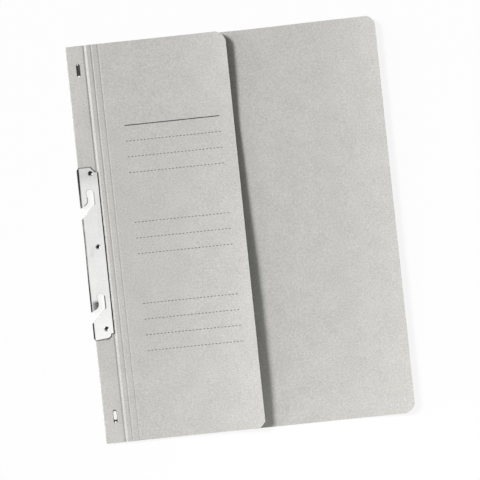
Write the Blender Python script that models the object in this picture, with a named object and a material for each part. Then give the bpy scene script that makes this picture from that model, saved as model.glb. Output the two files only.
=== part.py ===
"""Hook-in fastener folder for punched A4 sheets, lying shut on its back cover.

Metres, +X from the spine edge to the fore edge, +Y to the top edge, +Z out of the front cover.
The origin is the centre of the bottom of the folder's box. Places along the card are given as a
distance from the spine edge (across) and from the middle of the height (along).
"""
from math import cos, hypot, pi, radians, sin

import bmesh
import bpy
from mathutils import Vector

MM = 0.001

# Card sheet
CARD_WIDTH = 238 * MM
CARD_HEIGHT = 305 * MM
CARD = 0.4 * MM
FRONT_WIDTH = 122.9 * MM

# Corner cuts at the free edges: the reach along both edges and the radius of the cut
BACK_CORNER_TOP = (5.9 * MM, 9.4 * MM)
BACK_CORNER_BOTTOM = (7.5 * MM, 9.0 * MM)
FRONT_CORNER_TOP = (7.4 * MM, 10.0 * MM)
FRONT_CORNER_BOTTOM = (4.7 * MM, 18.0 * MM)
CORNER_STEPS = 6

# Gaps between layers that touch on the real folder
LAYER_GAP = 0.15 * MM
THIN_GAP = 0.12 * MM
CREASE_GAP = 0.25 * MM

# Creases of the front, as distances from the spine edge, and the step up at the first one
CREASE_1 = 14.9 * MM
CREASE_2 = 20.2 * MM
CREASE_3 = 25.4 * MM
STEP_END = 16.2 * MM
STEP_RISE = 0.9 * MM
STRIP_SLOPE_RISE = 0.15 * MM

# Half cover: the gap that its free edge keeps over the back cover waves along the height
EDGE_GAP_MEAN = 6.05 * MM
EDGE_GAP_WAVE = 1.4 * MM
EDGE_WAVE_RADIANS = 2.7
COVER_CURL = 1.5
COVER_COLUMNS = 10
COVER_ROWS = 16

# Back cover: it steps down from the margin to the table, and its fore edge curls up a little
BACK_STEP_END = 19 * MM
BACK_CURL_START = 140 * MM
BACK_CURL_RISE = 5 * MM
BACK_COLUMNS = 8

# Hook plate, folded round the spine edge
PLATE = 0.5 * MM
PLATE_OVERHANG = 1.05 * MM
PLATE_RIGHT = 14.25 * MM
PLATE_TOP = 59.6 * MM
PLATE_BOTTOM = -73.1 * MM
PLATE_SHOULDER = 12.7 * MM
PLATE_CHAMFER = 3.2 * MM
SHOULDER_DROP = 3.7 * MM
FOLD_CHAMFER = 1.2 * MM
BEND_STEPS = 10

# Hook slots, 80 mm apart like the holes of the papers
HOOK_PITCH = 80 * MM
SEAT_ACROSS = 7.3 * MM
SEAT_RADIUS = 2.8 * MM
SLOT_STRAIGHT = 8.7 * MM
FINGER_ACROSS = 0.55 * MM
FINGER_DROP = 5.2 * MM
FINGER_RADIUS = 4.8 * MM
FINGER_TIP_DROP = 11.2 * MM
CARD_CLEARANCE = 0.5 * MM
STIFFENER_CLEARANCE = 1.0 * MM

# Tubular rivets, open at the front
RIVET_ACROSS = 9.4 * MM
RIVETS = {"rivet_top": 54.7 * MM, "rivet_middle": -1.6 * MM, "rivet_bottom": -64.8 * MM}
RIVET_BORE = 0.85 * MM
RIVET_FLOOR = 0.9 * MM
RIVET_SHANK = 1.25 * MM
RIVET_LIP = 1.5 * MM
RIVET_FLARE = 1.85 * MM
RIVET_SIDES = 24
RIVET_CLEARANCE = 0.15 * MM
RIVET_CARD_HOLE = 1.6 * MM

# Oblong slots near the ends of the margin
TAB_SLOT_ACROSS = 8.7 * MM
TAB_SLOT_WIDTH = 3.0 * MM
TAB_SLOT_LENGTH = 10.3 * MM
TAB_SLOT_TOP_INSET = 18.9 * MM
TAB_SLOT_BOTTOM_INSET = 20.2 * MM

# Dark stiffener inside the margin; its slots sit further in than the card's
STIFFENER = 0.4 * MM
STIFFENER_LEFT = 1.6 * MM
STIFFENER_RIGHT = 13.4 * MM
STIFFENER_INSET = 2 * MM
STIFFENER_SLOT_TOP_INSET = 27.8 * MM
STIFFENER_SLOT_BOTTOM_INSET = 23.4 * MM

# Fastener under the half cover
FASTENER_ACROSS = 28 * MM
TONGUE_SHEET = 0.25 * MM
TONGUE_WIDTH = 5.6 * MM
TONGUE_TIP = 10 * MM
STRIP_SHEET = 0.3 * MM
STRIP_WIDTH = 17 * MM
STRIP_LENGTH = 124 * MM
CROWN_WIDTH = 7.0 * MM
CROWN_HOLLOW = 6.4 * MM
CROWN_FOOT = 7.8 * MM
BAR_SHEET = 0.4 * MM
BAR_WIDTH = 9 * MM
BAR_LENGTH = 108 * MM
TONGUE_SLOT_WIDTH = 6.2 * MM
TONGUE_SLOT_LENGTH = 1.1 * MM
LOCK_SHEET = 0.3 * MM
LOCK_LENGTH = 8 * MM
LOCK_ALONG = 22 * MM
LOCK_LIP = 0.95 * MM
LOCK_SIDE_GAP = 0.15 * MM

# Heights of the layers, from the table up
MARGIN_BACK_Z = PLATE + LAYER_GAP
STIFFENER_Z = MARGIN_BACK_Z + CARD + LAYER_GAP
MARGIN_FRONT_Z = STIFFENER_Z + STIFFENER + LAYER_GAP
PLATE_FRONT_Z = MARGIN_FRONT_Z + CARD + LAYER_GAP
PLATE_TOP_Z = PLATE_FRONT_Z + PLATE
CREASE_1_Z = MARGIN_FRONT_Z + CARD / 2
CREASE_2_Z = CREASE_1_Z + STEP_RISE + STRIP_SLOPE_RISE / 3
CREASE_3_Z = CREASE_1_Z + STEP_RISE + STRIP_SLOPE_RISE
COVER_UNDER_Z = CREASE_3_Z - CARD / 2
TONGUE_BASE_Z = CARD + 0.1 * MM
CROWN_UNDER_Z = TONGUE_BASE_Z + TONGUE_SHEET + THIN_GAP
BAR_Z = CROWN_UNDER_Z + STRIP_SHEET + 0.1 * MM
TONGUE_TOP_Z = BAR_Z + BAR_SHEET + 0.1 * MM
LOCK_UNDER_Z = TONGUE_TOP_Z + TONGUE_SHEET + 0.1 * MM
LOCK_LIP_Z = TONGUE_BASE_Z + STRIP_SHEET + THIN_GAP

# Cutters run well past both faces of what they cut
CUT_BOTTOM = -2 * MM
CUT_TOP = 6 * MM

HALF_HEIGHT = CARD_HEIGHT / 2
HALF_PITCH = HOOK_PITCH / 2
BOX_CENTRE = (CARD_WIDTH - PLATE_OVERHANG) / 2


def clear_scene():
    """Remove every object that the file opened with."""
    for old in list(bpy.data.objects):
        bpy.data.objects.remove(old, do_unlink=True)


def finish(name, colour, roughness, metallic=0.0):
    """A plain Principled material in one colour."""
    material = bpy.data.materials.new(name)
    material.use_nodes = True
    shader = material.node_tree.nodes["Principled BSDF"]
    shader.inputs["Base Color"].default_value = (*colour, 1.0)
    shader.inputs["Roughness"].default_value = roughness
    shader.inputs["Metallic"].default_value = metallic
    return material


def x_at(across):
    """World X of a distance from the spine edge."""
    return across - BOX_CENTRE


def add_solid(name, corners, faces, material, origin=(0, 0, 0)):
    """One closed body from world corners, with its object's origin where asked."""
    shape = bmesh.new()
    verts = [shape.verts.new(Vector(corner) - Vector(origin)) for corner in corners]
    for face in faces:
        shape.faces.new([verts[index] for index in face])
    bmesh.ops.recalc_face_normals(shape, faces=shape.faces)
    mesh = bpy.data.meshes.new(name)
    shape.to_mesh(mesh)
    shape.free()
    if material:
        mesh.materials.append(material)
    body = bpy.data.objects.new(name, mesh)
    body.location = origin
    bpy.context.scene.collection.objects.link(body)
    return body


def loft_faces(sides):
    """Faces of a tube between two outlines of the same number of corners, with both ends closed."""
    walls = [(i, (i + 1) % sides, sides + (i + 1) % sides, sides + i) for i in range(sides)]
    return walls + [tuple(range(sides)), tuple(range(sides, 2 * sides))]


def prism_along(name, profile, low, high, material, origin=(0, 0, 0)):
    """A profile of (across, z) points carried along the height, from low to high."""
    corners = [(x_at(a), y, z) for y in (low, high) for a, z in profile]
    return add_solid(name, corners, loft_faces(len(profile)), material, origin)


def prism_up(name, outline, low, high, material):
    """An outline of (across, along) points carried up, from low to high."""
    corners = [(x_at(a), y, z) for z in (low, high) for a, y in outline]
    return add_solid(name, corners, loft_faces(len(outline)), material)


def arc(centre, radius, start, end, steps):
    """Points on an arc, angles in degrees."""
    angles = [radians(start + (end - start) * i / steps) for i in range(steps + 1)]
    return [(centre[0] + radius * cos(a), centre[1] + radius * sin(a)) for a in angles]


def thicken(line, thickness):
    """Closed profile of a sheet whose middle follows a line of (across, z) points."""
    above, below = [], []
    for i, (a, z) in enumerate(line):
        before = line[max(i - 1, 0)]
        after = line[min(i + 1, len(line) - 1)]
        run, rise = after[0] - before[0], after[1] - before[1]
        half = thickness / 2 / hypot(run, rise)
        above.append((a - rise * half, z + run * half))
        below.append((a + rise * half, z - run * half))
    return above + below[::-1]


def cut(body, cutter, operation="DIFFERENCE"):
    """Cut a body with another one, which is then only a hidden guide."""
    modifier = body.modifiers.new(cutter.name, "BOOLEAN")
    modifier.object = cutter
    modifier.operation = operation
    modifier.solver = "EXACT"
    cutter.hide_render = True
    cutter.display_type = "WIRE"


def box_cutter(name, across, along, width, length):
    """An upright cutter with a rectangular plan."""
    a0, a1 = across - width / 2, across + width / 2
    y0, y1 = along - length / 2, along + length / 2
    return prism_up(name, [(a0, y0), (a1, y0), (a1, y1), (a0, y1)], CUT_BOTTOM, CUT_TOP, None)


def oblong(across, along, width, length, steps=8):
    """Outline of an upright slot or bar with half-round ends."""
    radius = width / 2
    reach = length / 2 - radius
    upper = arc((across, along + reach), radius, 0, 180, steps)
    lower = arc((across, along - reach), radius, 180, 360, steps)
    return upper + lower


def end_at(across, edge, corner):
    """How far a panel reaches from the middle of the height, less its corner cut near the free edge."""
    reach, radius = corner
    into = across - edge
    if into <= -reach:
        return HALF_HEIGHT
    centre = (reach + (2 * radius ** 2 - reach ** 2) ** 0.5) / 2
    return HALF_HEIGHT - centre + (radius ** 2 - (into + centre) ** 2) ** 0.5


def corner_columns(edge, corners):
    """Distances across where the corner cuts need a column of points, the last at the edge."""
    steps = range(CORNER_STEPS + 1)
    return sorted({edge - reach * i / CORNER_STEPS for reach, radius in corners for i in steps})


def cover_under_z(across, along):
    """Underside of the half cover: level at its crease, curling up to the waving free edge."""
    edge_gap = EDGE_GAP_MEAN - EDGE_GAP_WAVE * sin(EDGE_WAVE_RADIANS * along / HALF_HEIGHT)
    start = CREASE_3 + CREASE_GAP
    part = (across - start) / (FRONT_WIDTH - start)
    return COVER_UNDER_Z + (CARD + edge_gap - COVER_UNDER_Z) * part ** COVER_CURL


def back_under_z(across, along):
    """Underside of the back cover: down from the margin to the table, then up in a parabola."""
    start = CREASE_1 + CREASE_GAP
    step = min((across - start) / (BACK_STEP_END - start), 1.0)
    curl = max((across - BACK_CURL_START) / (CARD_WIDTH - BACK_CURL_START), 0.0)
    return MARGIN_BACK_Z * (1 - step) + BACK_CURL_RISE * curl ** 2


def card_panel(name, columns, rows, cuts, under_z, material, origin=(0, 0, 0)):
    """A card panel on a grid of columns and rows, with corner cuts and a function for its underside."""
    edge = columns[-1]
    corners = []
    for lift in (0.0, CARD):
        for a in columns:
            high, low = end_at(a, edge, cuts[0]), -end_at(a, edge, cuts[1])
            for j in range(rows + 1):
                y = low + (high - low) * j / rows
                corners.append((x_at(a), y, under_z(a, y) + lift))
    per_row = rows + 1
    layer = len(columns) * per_row
    faces = []
    for i in range(len(columns) - 1):
        for j in range(rows):
            low = i * per_row + j
            quad = (low, low + 1, low + per_row + 1, low + per_row)
            faces.append(quad)
            faces.append(tuple(index + layer for index in quad))
    last = (len(columns) - 1) * per_row
    rim = list(range(0, per_row))
    rim += [i * per_row + rows for i in range(1, len(columns))]
    rim += [last + j for j in range(rows - 1, -1, -1)]
    rim += [i * per_row for i in range(len(columns) - 2, 0, -1)]
    for here, there in zip(rim, rim[1:] + rim[:1]):
        faces.append((here, there, there + layer, here + layer))
    return add_solid(name, corners, faces, material, origin)


def hook_slot(name, along, grow=0.0):
    """Cutter of one hook slot: a round seat, a straight drop, and a mouth slanting to the spine edge."""
    seat = (SEAT_ACROSS, along)
    radius = SEAT_RADIUS + grow
    finger = (FINGER_ACROSS, along - FINGER_DROP)
    finger_radius = FINGER_RADIUS - grow
    right = SEAT_ACROSS + radius
    bend = along - SLOT_STRAIGHT
    outside = -4 * PLATE_OVERHANG
    mouth_low = bend - (right - outside) - grow
    outline = arc(seat, radius, 0, 200, 14)
    outline += arc(finger, finger_radius, 15, -80, 8)
    outline += [(outside, along - FINGER_TIP_DROP + grow), (outside, mouth_low), (right, bend - grow)]
    return prism_up(name, outline, CUT_BOTTOM, CUT_TOP, None)


def hook_slots(prefix, grow=0.0):
    """Both hook slots, with their seats half a pitch above and below the middle."""
    seats = {"_slot_upper": HALF_PITCH, "_slot_lower": -HALF_PITCH}
    return [hook_slot(prefix + end, along, grow) for end, along in seats.items()]


def rivet_holes(prefix):
    """Straight round holes for the rivets."""
    holes = []
    for name, along in RIVETS.items():
        outline = arc((RIVET_ACROSS, along), RIVET_CARD_HOLE, 0, 360, RIVET_SIDES)[:-1]
        holes.append(prism_up(prefix + "_hole_" + name, outline, CUT_BOTTOM, CUT_TOP, None))
    return holes


def turned(name, profile, along, material):
    """A profile of (radius, z) points turned round a rivet's axis, with flat caps at both ends."""
    sides = RIVET_SIDES
    turns = [2 * pi * i / sides for i in range(sides)]
    centre = x_at(RIVET_ACROSS)
    corners = [(centre + r * cos(turn), along + r * sin(turn), z) for r, z in profile for turn in turns]
    count = len(profile)
    faces = []
    for j in range(count - 1):
        here, there = j * sides, (j + 1) * sides
        for i in range(sides):
            after = (i + 1) % sides
            faces.append((here + i, here + after, there + after, there + i))
    faces += [tuple(range(sides)), tuple(range((count - 1) * sides, count * sides))]
    return add_solid(name, corners, faces, material)


def rivet_sockets(prefix):
    """Cutters of the plate's rivet holes, flared in each leaf and straight between."""
    wide, narrow = RIVET_FLARE + RIVET_CLEARANCE, RIVET_SHANK + RIVET_CLEARANCE
    past = LAYER_GAP
    mouth = wide + (wide - narrow) / PLATE * past
    profile = [(mouth, -past), (narrow, PLATE), (narrow, PLATE_FRONT_Z), (mouth, PLATE_TOP_Z + past)]
    return [
        turned(prefix + "_socket_" + name, profile, along, None)
        for name, along in RIVETS.items()
    ]


def add_back_cover(material):
    """Full-width panel that the folder lies on."""
    cuts = (BACK_CORNER_TOP, BACK_CORNER_BOTTOM)
    bends = corner_columns(CARD_WIDTH, cuts)
    span = bends[0] - BACK_CURL_START
    columns = [CREASE_1 + CREASE_GAP, BACK_STEP_END]
    columns += [BACK_CURL_START + span * i / BACK_COLUMNS for i in range(BACK_COLUMNS)]
    card_panel("back_cover", columns + bends, 1, cuts, back_under_z, material)


def add_spine_margin(material):
    """Doubled margin: the sheet folded back on itself at the spine edge."""
    middle_z = (MARGIN_BACK_Z + MARGIN_FRONT_Z + CARD) / 2
    outer = middle_z - MARGIN_BACK_Z
    inner = outer - CARD
    end = CREASE_1 - CREASE_GAP
    fold = (outer, middle_z)
    profile = [
        (end, MARGIN_BACK_Z),
        *arc(fold, outer, 270, 90, BEND_STEPS),
        (end, MARGIN_FRONT_Z + CARD),
        (end, MARGIN_FRONT_Z),
        *arc(fold, inner, 90, 270, BEND_STEPS),
        (end, MARGIN_BACK_Z + CARD),
    ]
    margin = prism_along("spine_margin", profile, -HALF_HEIGHT, HALF_HEIGHT, material)
    for cutter in hook_slots("margin", CARD_CLEARANCE) + rivet_holes("margin"):
        cut(margin, cutter)
    places = {"top": HALF_HEIGHT - TAB_SLOT_TOP_INSET, "bottom": TAB_SLOT_BOTTOM_INSET - HALF_HEIGHT}
    for end_name, along in places.items():
        outline = oblong(TAB_SLOT_ACROSS, along, TAB_SLOT_WIDTH, TAB_SLOT_LENGTH)
        cut(margin, prism_up("margin_tab_" + end_name, outline, CUT_BOTTOM, CUT_TOP, None))


def add_spine_stiffener(material):
    """Dark strip between the two layers of the margin."""
    left, right = STIFFENER_LEFT, STIFFENER_RIGHT
    low, high = STIFFENER_INSET - HALF_HEIGHT, HALF_HEIGHT - STIFFENER_INSET
    corners = [(left, low), (right, low), (right, high), (left, high)]
    strip = prism_up("spine_stiffener", corners, STIFFENER_Z, STIFFENER_Z + STIFFENER, material)
    for cutter in hook_slots("stiffener", STIFFENER_CLEARANCE) + rivet_holes("stiffener"):
        cut(strip, cutter)
    places = {
        "top": HALF_HEIGHT - STIFFENER_SLOT_TOP_INSET,
        "bottom": STIFFENER_SLOT_BOTTOM_INSET - HALF_HEIGHT,
    }
    for end_name, along in places.items():
        outline = oblong(TAB_SLOT_ACROSS, along, TAB_SLOT_WIDTH, TAB_SLOT_LENGTH)
        cut(strip, prism_up("stiffener_tab_" + end_name, outline, CUT_BOTTOM, CUT_TOP, None))


def add_crease_strips(material):
    """Two narrow panels between the creases; the inner one steps up from the margin."""
    step_top = (STEP_END, CREASE_1_Z + STEP_RISE)
    inner = [(CREASE_1 + CREASE_GAP, CREASE_1_Z), step_top, (CREASE_2 - CREASE_GAP, CREASE_2_Z)]
    outer = [(CREASE_2 + CREASE_GAP, CREASE_2_Z), (CREASE_3 - CREASE_GAP, CREASE_3_Z)]
    prism_along("crease_strip_inner", thicken(inner, CARD), -HALF_HEIGHT, HALF_HEIGHT, material,
                (x_at(CREASE_1), 0, CREASE_1_Z))
    prism_along("crease_strip_outer", thicken(outer, CARD), -HALF_HEIGHT, HALF_HEIGHT, material,
                (x_at(CREASE_2), 0, CREASE_2_Z))


def add_front_cover(material):
    """Half-width panel, hinged at the third crease."""
    start = CREASE_3 + CREASE_GAP
    cuts = (FRONT_CORNER_TOP, FRONT_CORNER_BOTTOM)
    bends = corner_columns(FRONT_WIDTH, cuts)
    columns = [start + (bends[0] - start) * i / COVER_COLUMNS for i in range(COVER_COLUMNS)]
    card_panel("front_cover", columns + bends, COVER_ROWS, cuts, cover_under_z, material,
               (x_at(CREASE_3), 0, CREASE_3_Z))


def plate_outline():
    """Outline of the hook plate as it shows on the front."""
    left, right = -PLATE_OVERHANG, PLATE_RIGHT
    shoulder = PLATE_SHOULDER
    upper, lower = PLATE_TOP - SHOULDER_DROP, PLATE_BOTTOM + SHOULDER_DROP
    notch = (shoulder - PLATE_CHAMFER, lower)
    return [
        (left, PLATE_TOP - FOLD_CHAMFER),
        (left + FOLD_CHAMFER, PLATE_TOP),
        (shoulder - PLATE_CHAMFER, PLATE_TOP),
        (shoulder, PLATE_TOP - PLATE_CHAMFER),
        (right, upper),
        (right, lower),
        *arc(notch, PLATE_CHAMFER, 0, -75, 6),
        (left + FOLD_CHAMFER, PLATE_BOTTOM),
        (left, PLATE_BOTTOM + FOLD_CHAMFER),
    ][::-1]


def add_hook_plate(material):
    """Steel sheet folded round the spine edge, with its two hook slots."""
    outer = PLATE_TOP_Z / 2
    bend = (outer - PLATE_OVERHANG, outer)
    blank_end = 2 * PLATE_RIGHT
    profile = [
        *arc(bend, outer, 270, 90, BEND_STEPS),
        (blank_end, PLATE_TOP_Z),
        (blank_end, PLATE_FRONT_Z),
        *arc(bend, outer - PLATE, 90, 270, BEND_STEPS),
        (blank_end, PLATE),
        (blank_end, 0),
    ]
    plate = prism_along("hook_plate", profile, -HALF_HEIGHT, HALF_HEIGHT, material)
    cut(plate, prism_up("plate_outline", plate_outline(), CUT_BOTTOM, CUT_TOP, None), "INTERSECT")
    for cutter in hook_slots("plate") + rivet_sockets("plate"):
        cut(plate, cutter)


def add_rivets(material):
    """Tubular rivets: a countersunk head flush with the plate's back, and a mouth flared into its front."""
    profile = [
        (RIVET_FLARE, 0),
        (RIVET_SHANK, PLATE),
        (RIVET_SHANK, PLATE_FRONT_Z),
        (RIVET_FLARE, PLATE_TOP_Z),
        (RIVET_LIP, PLATE_TOP_Z),
        (RIVET_BORE, PLATE_FRONT_Z - CARD / 4),
        (RIVET_BORE, RIVET_FLOOR),
    ]
    for name, along in RIVETS.items():
        rivet = turned(name, profile, along, material)
        rivet.data.shade_smooth()
        rivet.data.set_sharp_from_angle(angle=radians(35))


def tongue_slots(prefix):
    """Cutters of the two slots that the tongues pass through."""
    ends = {"_tongue_slot_upper": HALF_PITCH, "_tongue_slot_lower": -HALF_PITCH}
    size = (TONGUE_SLOT_WIDTH, TONGUE_SLOT_LENGTH)
    return [box_cutter(prefix + end, FASTENER_ACROSS, along, *size) for end, along in ends.items()]


def add_reinforcement_strip(material):
    """Card strip with a raised crown, holding the tongue strip's base on the back cover."""
    low, high = TONGUE_BASE_Z, CROWN_UNDER_Z + STRIP_SHEET
    right = [
        (STRIP_WIDTH / 2, low + STRIP_SHEET),
        (STRIP_WIDTH / 2, low),
        (CROWN_WIDTH / 2, low),
        (CROWN_HOLLOW / 2, CROWN_UNDER_Z),
    ]
    crown = [(-CROWN_WIDTH / 2, high), (CROWN_WIDTH / 2, high)]
    foot = [(CROWN_FOOT / 2, low + STRIP_SHEET)]
    left = [(-a, z) for a, z in right[::-1]]
    profile = crown + foot + right + left + [(-a, z) for a, z in foot]
    placed = [(FASTENER_ACROSS + a, z) for a, z in profile]
    strip = prism_along("reinforcement_strip", placed, -STRIP_LENGTH / 2, STRIP_LENGTH / 2, material)
    for cutter in tongue_slots("strip"):
        cut(strip, cutter)


def add_tongue_strip(material):
    """Thin steel strip: a base, two risers through the papers, and two tongues folded in over the bar."""
    half = TONGUE_SHEET / 2
    base, top = TONGUE_BASE_Z, TONGUE_TOP_Z + TONGUE_SHEET
    outer, inner = HALF_PITCH + half, HALF_PITCH - half
    upper = [
        (outer, base),
        (outer, top),
        (TONGUE_TIP, top),
        (TONGUE_TIP, TONGUE_TOP_Z),
        (inner, TONGUE_TOP_Z),
        (inner, base + TONGUE_SHEET),
    ]
    profile = upper + [(-y, z) for y, z in upper[::-1]]
    sides = [x_at(FASTENER_ACROSS - TONGUE_WIDTH / 2), x_at(FASTENER_ACROSS + TONGUE_WIDTH / 2)]
    corners = [(x, y, z) for x in sides for y, z in profile]
    add_solid("tongue_strip", corners, loft_faces(len(profile)), material)


def add_compressor_bar(material):
    """Flat bar with half-round ends that presses on the papers."""
    outline = oblong(FASTENER_ACROSS, 0, BAR_WIDTH, BAR_LENGTH)
    bar = prism_up("compressor_bar", outline, BAR_Z, BAR_Z + BAR_SHEET, material)
    for cutter in tongue_slots("bar"):
        cut(bar, cutter)


def add_lock_slides(material):
    """Two clips, each wrapped round the bar's long edges, over the folded tongues."""
    inner = BAR_WIDTH / 2 + LOCK_SIDE_GAP
    outer = inner + LOCK_SHEET
    lip = outer - LOCK_LIP
    lip_top = BAR_Z - 0.1 * MM
    top = LOCK_UNDER_Z + LOCK_SHEET
    right = [
        (outer, top),
        (outer, LOCK_LIP_Z),
        (lip, LOCK_LIP_Z),
        (lip, lip_top),
        (inner, lip_top),
        (inner, LOCK_UNDER_Z),
    ]
    profile = [(FASTENER_ACROSS + a, z) for a, z in right + [(-a, z) for a, z in right[::-1]]]
    for name, along in (("lock_slide_upper", LOCK_ALONG), ("lock_slide_lower", -LOCK_ALONG)):
        prism_along(name, profile, along - LOCK_LENGTH / 2, along + LOCK_LENGTH / 2, material,
                    (x_at(FASTENER_ACROSS), along, BAR_Z))


def build():
    """Every piece of the folder, in the order that it is put together."""
    clear_scene()
    card = finish("grey_card", (0.54, 0.53, 0.50), 0.9)
    dark_board = finish("dark_board", (0.05, 0.048, 0.044), 0.8)
    plated_steel = finish("plated_steel", (0.82, 0.82, 0.82), 0.25, 1.0)
    rivet_steel = finish("rivet_steel", (0.7, 0.7, 0.7), 0.3, 1.0)
    tinned_steel = finish("tinned_steel", (0.75, 0.74, 0.7), 0.35, 1.0)
    add_back_cover(card)
    add_spine_margin(card)
    add_spine_stiffener(dark_board)
    add_crease_strips(card)
    add_front_cover(card)
    add_hook_plate(plated_steel)
    add_rivets(rivet_steel)
    add_tongue_strip(tinned_steel)
    add_reinforcement_strip(card)
    add_compressor_bar(tinned_steel)
    add_lock_slides(tinned_steel)


build()
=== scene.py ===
"""Looks of a hook-in fastener folder: grey card, a steel hook plate, tubular rivets and a tongue fastener.

Shapes are worked out in millimetres as (across, along, height): from the spine edge, from the middle of the
folder's length and from the table. They turn into metres in the part's own frame, +X to the fore edge, +Y to
the top edge and +Z up, where a mesh is made.
"""

import bpy
import numpy as np
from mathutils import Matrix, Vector
from mathutils.geometry import delaunay_2d_cdt


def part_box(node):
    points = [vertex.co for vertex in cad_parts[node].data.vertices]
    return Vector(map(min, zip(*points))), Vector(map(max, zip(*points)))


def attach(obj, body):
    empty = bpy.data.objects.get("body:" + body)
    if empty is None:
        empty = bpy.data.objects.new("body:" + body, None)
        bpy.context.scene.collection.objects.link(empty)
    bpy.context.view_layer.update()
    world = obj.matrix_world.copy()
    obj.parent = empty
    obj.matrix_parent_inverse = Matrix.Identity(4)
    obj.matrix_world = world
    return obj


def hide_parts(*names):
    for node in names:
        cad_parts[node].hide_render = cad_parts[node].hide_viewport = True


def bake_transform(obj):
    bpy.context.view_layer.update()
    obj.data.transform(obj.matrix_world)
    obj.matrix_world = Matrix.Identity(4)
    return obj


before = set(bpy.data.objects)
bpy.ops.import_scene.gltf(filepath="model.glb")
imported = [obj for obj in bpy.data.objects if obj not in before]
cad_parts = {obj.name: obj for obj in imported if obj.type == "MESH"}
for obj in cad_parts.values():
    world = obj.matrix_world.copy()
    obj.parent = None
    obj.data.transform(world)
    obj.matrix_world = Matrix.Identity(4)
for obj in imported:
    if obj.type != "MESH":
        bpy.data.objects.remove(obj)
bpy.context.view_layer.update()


# Grey card, back half
# One die-cut sheet of recycled grey card makes both covers. This half is the full-width back cover with the
# margin folded over at the spine edge; its slots and holes are punched before it is folded.

MM = 0.001
SPINE_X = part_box("spine_margin")[0].x
CARD = 0.4
CARD_WIDTH = 238.0
HALF_HEIGHT = 152.5
FOLD_RADIUS = 0.75
FOLD_HEIGHT = 1.4
MARGIN_BACK = FOLD_HEIGHT - FOLD_RADIUS
MARGIN_FRONT = FOLD_HEIGHT + FOLD_RADIUS
BACK_STEP = (15.15, 19.0)
BACK_CURL_START = 140.0
BACK_CURL_RISE = 5.0
BACK_CURL = (3.5, 0.8)
CURL_TOP = (40.0, 130.0)
BACK_CORNERS = ((5.9, 9.4), (7.5, 9.0))
CORNER_CLEAR = 1.0
SEAM_MARGIN = 12.8
MARGIN_DROOP = 0.6
MARGIN_FREE = ((-75.0, -108.0), (62.0, 95.0))
# Lines along the steel plate's edges where its shadow is painted on the card: a width, a share and points.
PLATE_SHADOW_LINES = (
    (0.5, 0.95, (15.0, -69.0), (15.0, -50.0)),
    (0.38, 0.75, (15.0, -50.0), (15.0, -28.0)),
    (0.44, 0.92, (15.0, -28.0), (15.0, -10.0)),
    (0.6, 1.0, (15.0, -10.0), (15.0, 14.0)),
    (0.45, 0.92, (15.0, 14.0), (15.0, 45.0)),
    (0.6, 0.95, (15.0, 45.0), (15.0, 55.0)),
    (0.55, 0.95, (12.95, 55.4), (9.8, 59.4)),
    (0.7, 1.0, (12.95, 55.4), (12.75, 56.1)),
    (0.36, 0.75, (9.7, 59.6), (0.5, 59.6)),
    (0.36, 0.6, (0.4, -73.0), (9.4, -73.0)),
    (0.45, 0.95, (9.4, -73.0), (10.7, -72.5), (11.7, -71.6), (12.4, -69.9), (12.9, -69.0), (14.9, -68.85)),
)
ASKEW = 0.34
ASKEW_STEP = (95.0, 140.0)
SHEET_LENGTH = (1.00115, -0.075)
TAPER_FALL = 0.4
TAPER_IN = (60.0, 110.0)
TAPER_RISE = 0.7
TAPER_OUT = (130.0, 210.0)
FORE_LEAN = 0.35
LEAN_UP = (-130.0, 110.0)
HOOK_SEATS = (40.0, -40.0)
SEAT_ACROSS = 7.3
SEAT_RADIUS = 2.8
SLOT_STRAIGHT = 8.7
FINGER_ACROSS = 0.55
FINGER_DROP = 5.2
FINGER_RADIUS = 4.8
FINGER_TIP = (-4.2, -12.7)
CARD_CLEARANCE = 0.5
RIVET_ACROSS = 9.4
RIVETS_ALONG = {"rivet_top": 54.7, "rivet_middle": -1.6, "rivet_bottom": -64.8}
RIVET_CARD_HOLE = 1.6
TAB_SLOT = (3.0, 10.3)
TAB_SLOTS = ((8.35, 134.1), (9.0, -132.1))
GREY = {"Dark": (0.455, 0.4485, 0.4245), "Light": (0.653, 0.643, 0.6145), "Fleck": (0.356, 0.351, 0.33)}
# Colour of the shade and shadow painted on card.
PAINTED_SHADE_COLOUR = (0.06, 0.06, 0.058, 1)


def ease(value, start, end):
    """Smooth step: 0 before start, 1 after end, and 3t^2 - 2t^3 between them."""
    t = np.clip((value - start) / (end - start), 0, 1)
    return t * t * (3 - 2 * t)


def swell(value, place, width):
    """Bell over a place: 1 on it, and the exponential of -1 one width away."""
    return np.exp(-((value - place) / width) ** 2)


def ticks(*spans):
    """Values in even steps over one span after another, each a start, an end and a count."""
    return np.concatenate([np.linspace(*span) for span in spans])


def straight(across, along):
    """Points of a straight line, level or upright: one of the two is the same on all of them."""
    return np.column_stack(np.broadcast_arrays(across, along))


def arc(centre, radius, start, end, steps):
    """Points on an arc about a centre, from one angle to another in degrees."""
    turn = np.radians(np.linspace(start, end, steps + 1))
    return np.column_stack([centre[0] + radius * np.cos(turn), centre[1] + radius * np.sin(turn)])


def corner_cut(edge, corner, steps=8):
    """Corner cut as (across, along): an arc whose ends lie one reach from the corner on both edges."""
    reach, radius = corner
    centre = (reach + np.sqrt(2 * radius ** 2 - reach ** 2)) / 2
    side = np.degrees(np.arcsin((centre - reach) / radius))
    return arc((edge - centre, HALF_HEIGHT - centre), radius, 90 - side, side, steps)


def dense(line, step):
    """The same line with points added, so that no two are further than a step apart."""
    run = np.concatenate([[0], np.cumsum(np.linalg.norm(np.diff(line, axis=0), axis=1))])
    marks = np.union1d(run, np.linspace(0, run[-1], int(run[-1] / step) + 2))
    marks = marks[np.concatenate([[True], np.diff(marks) > 1e-6])]
    return np.column_stack([np.interp(marks, run, line[:, 0]), np.interp(marks, run, line[:, 1])])


def unfold(across, left, radius):
    """Run along a folded sheet: an arc's share of its radius in the fold, then the distance across."""
    part = np.clip((across - left) / radius, 0, 1)
    return np.where(part < 1, radius * np.arccos(1 - part) * 2 / np.pi, across - left)


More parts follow.
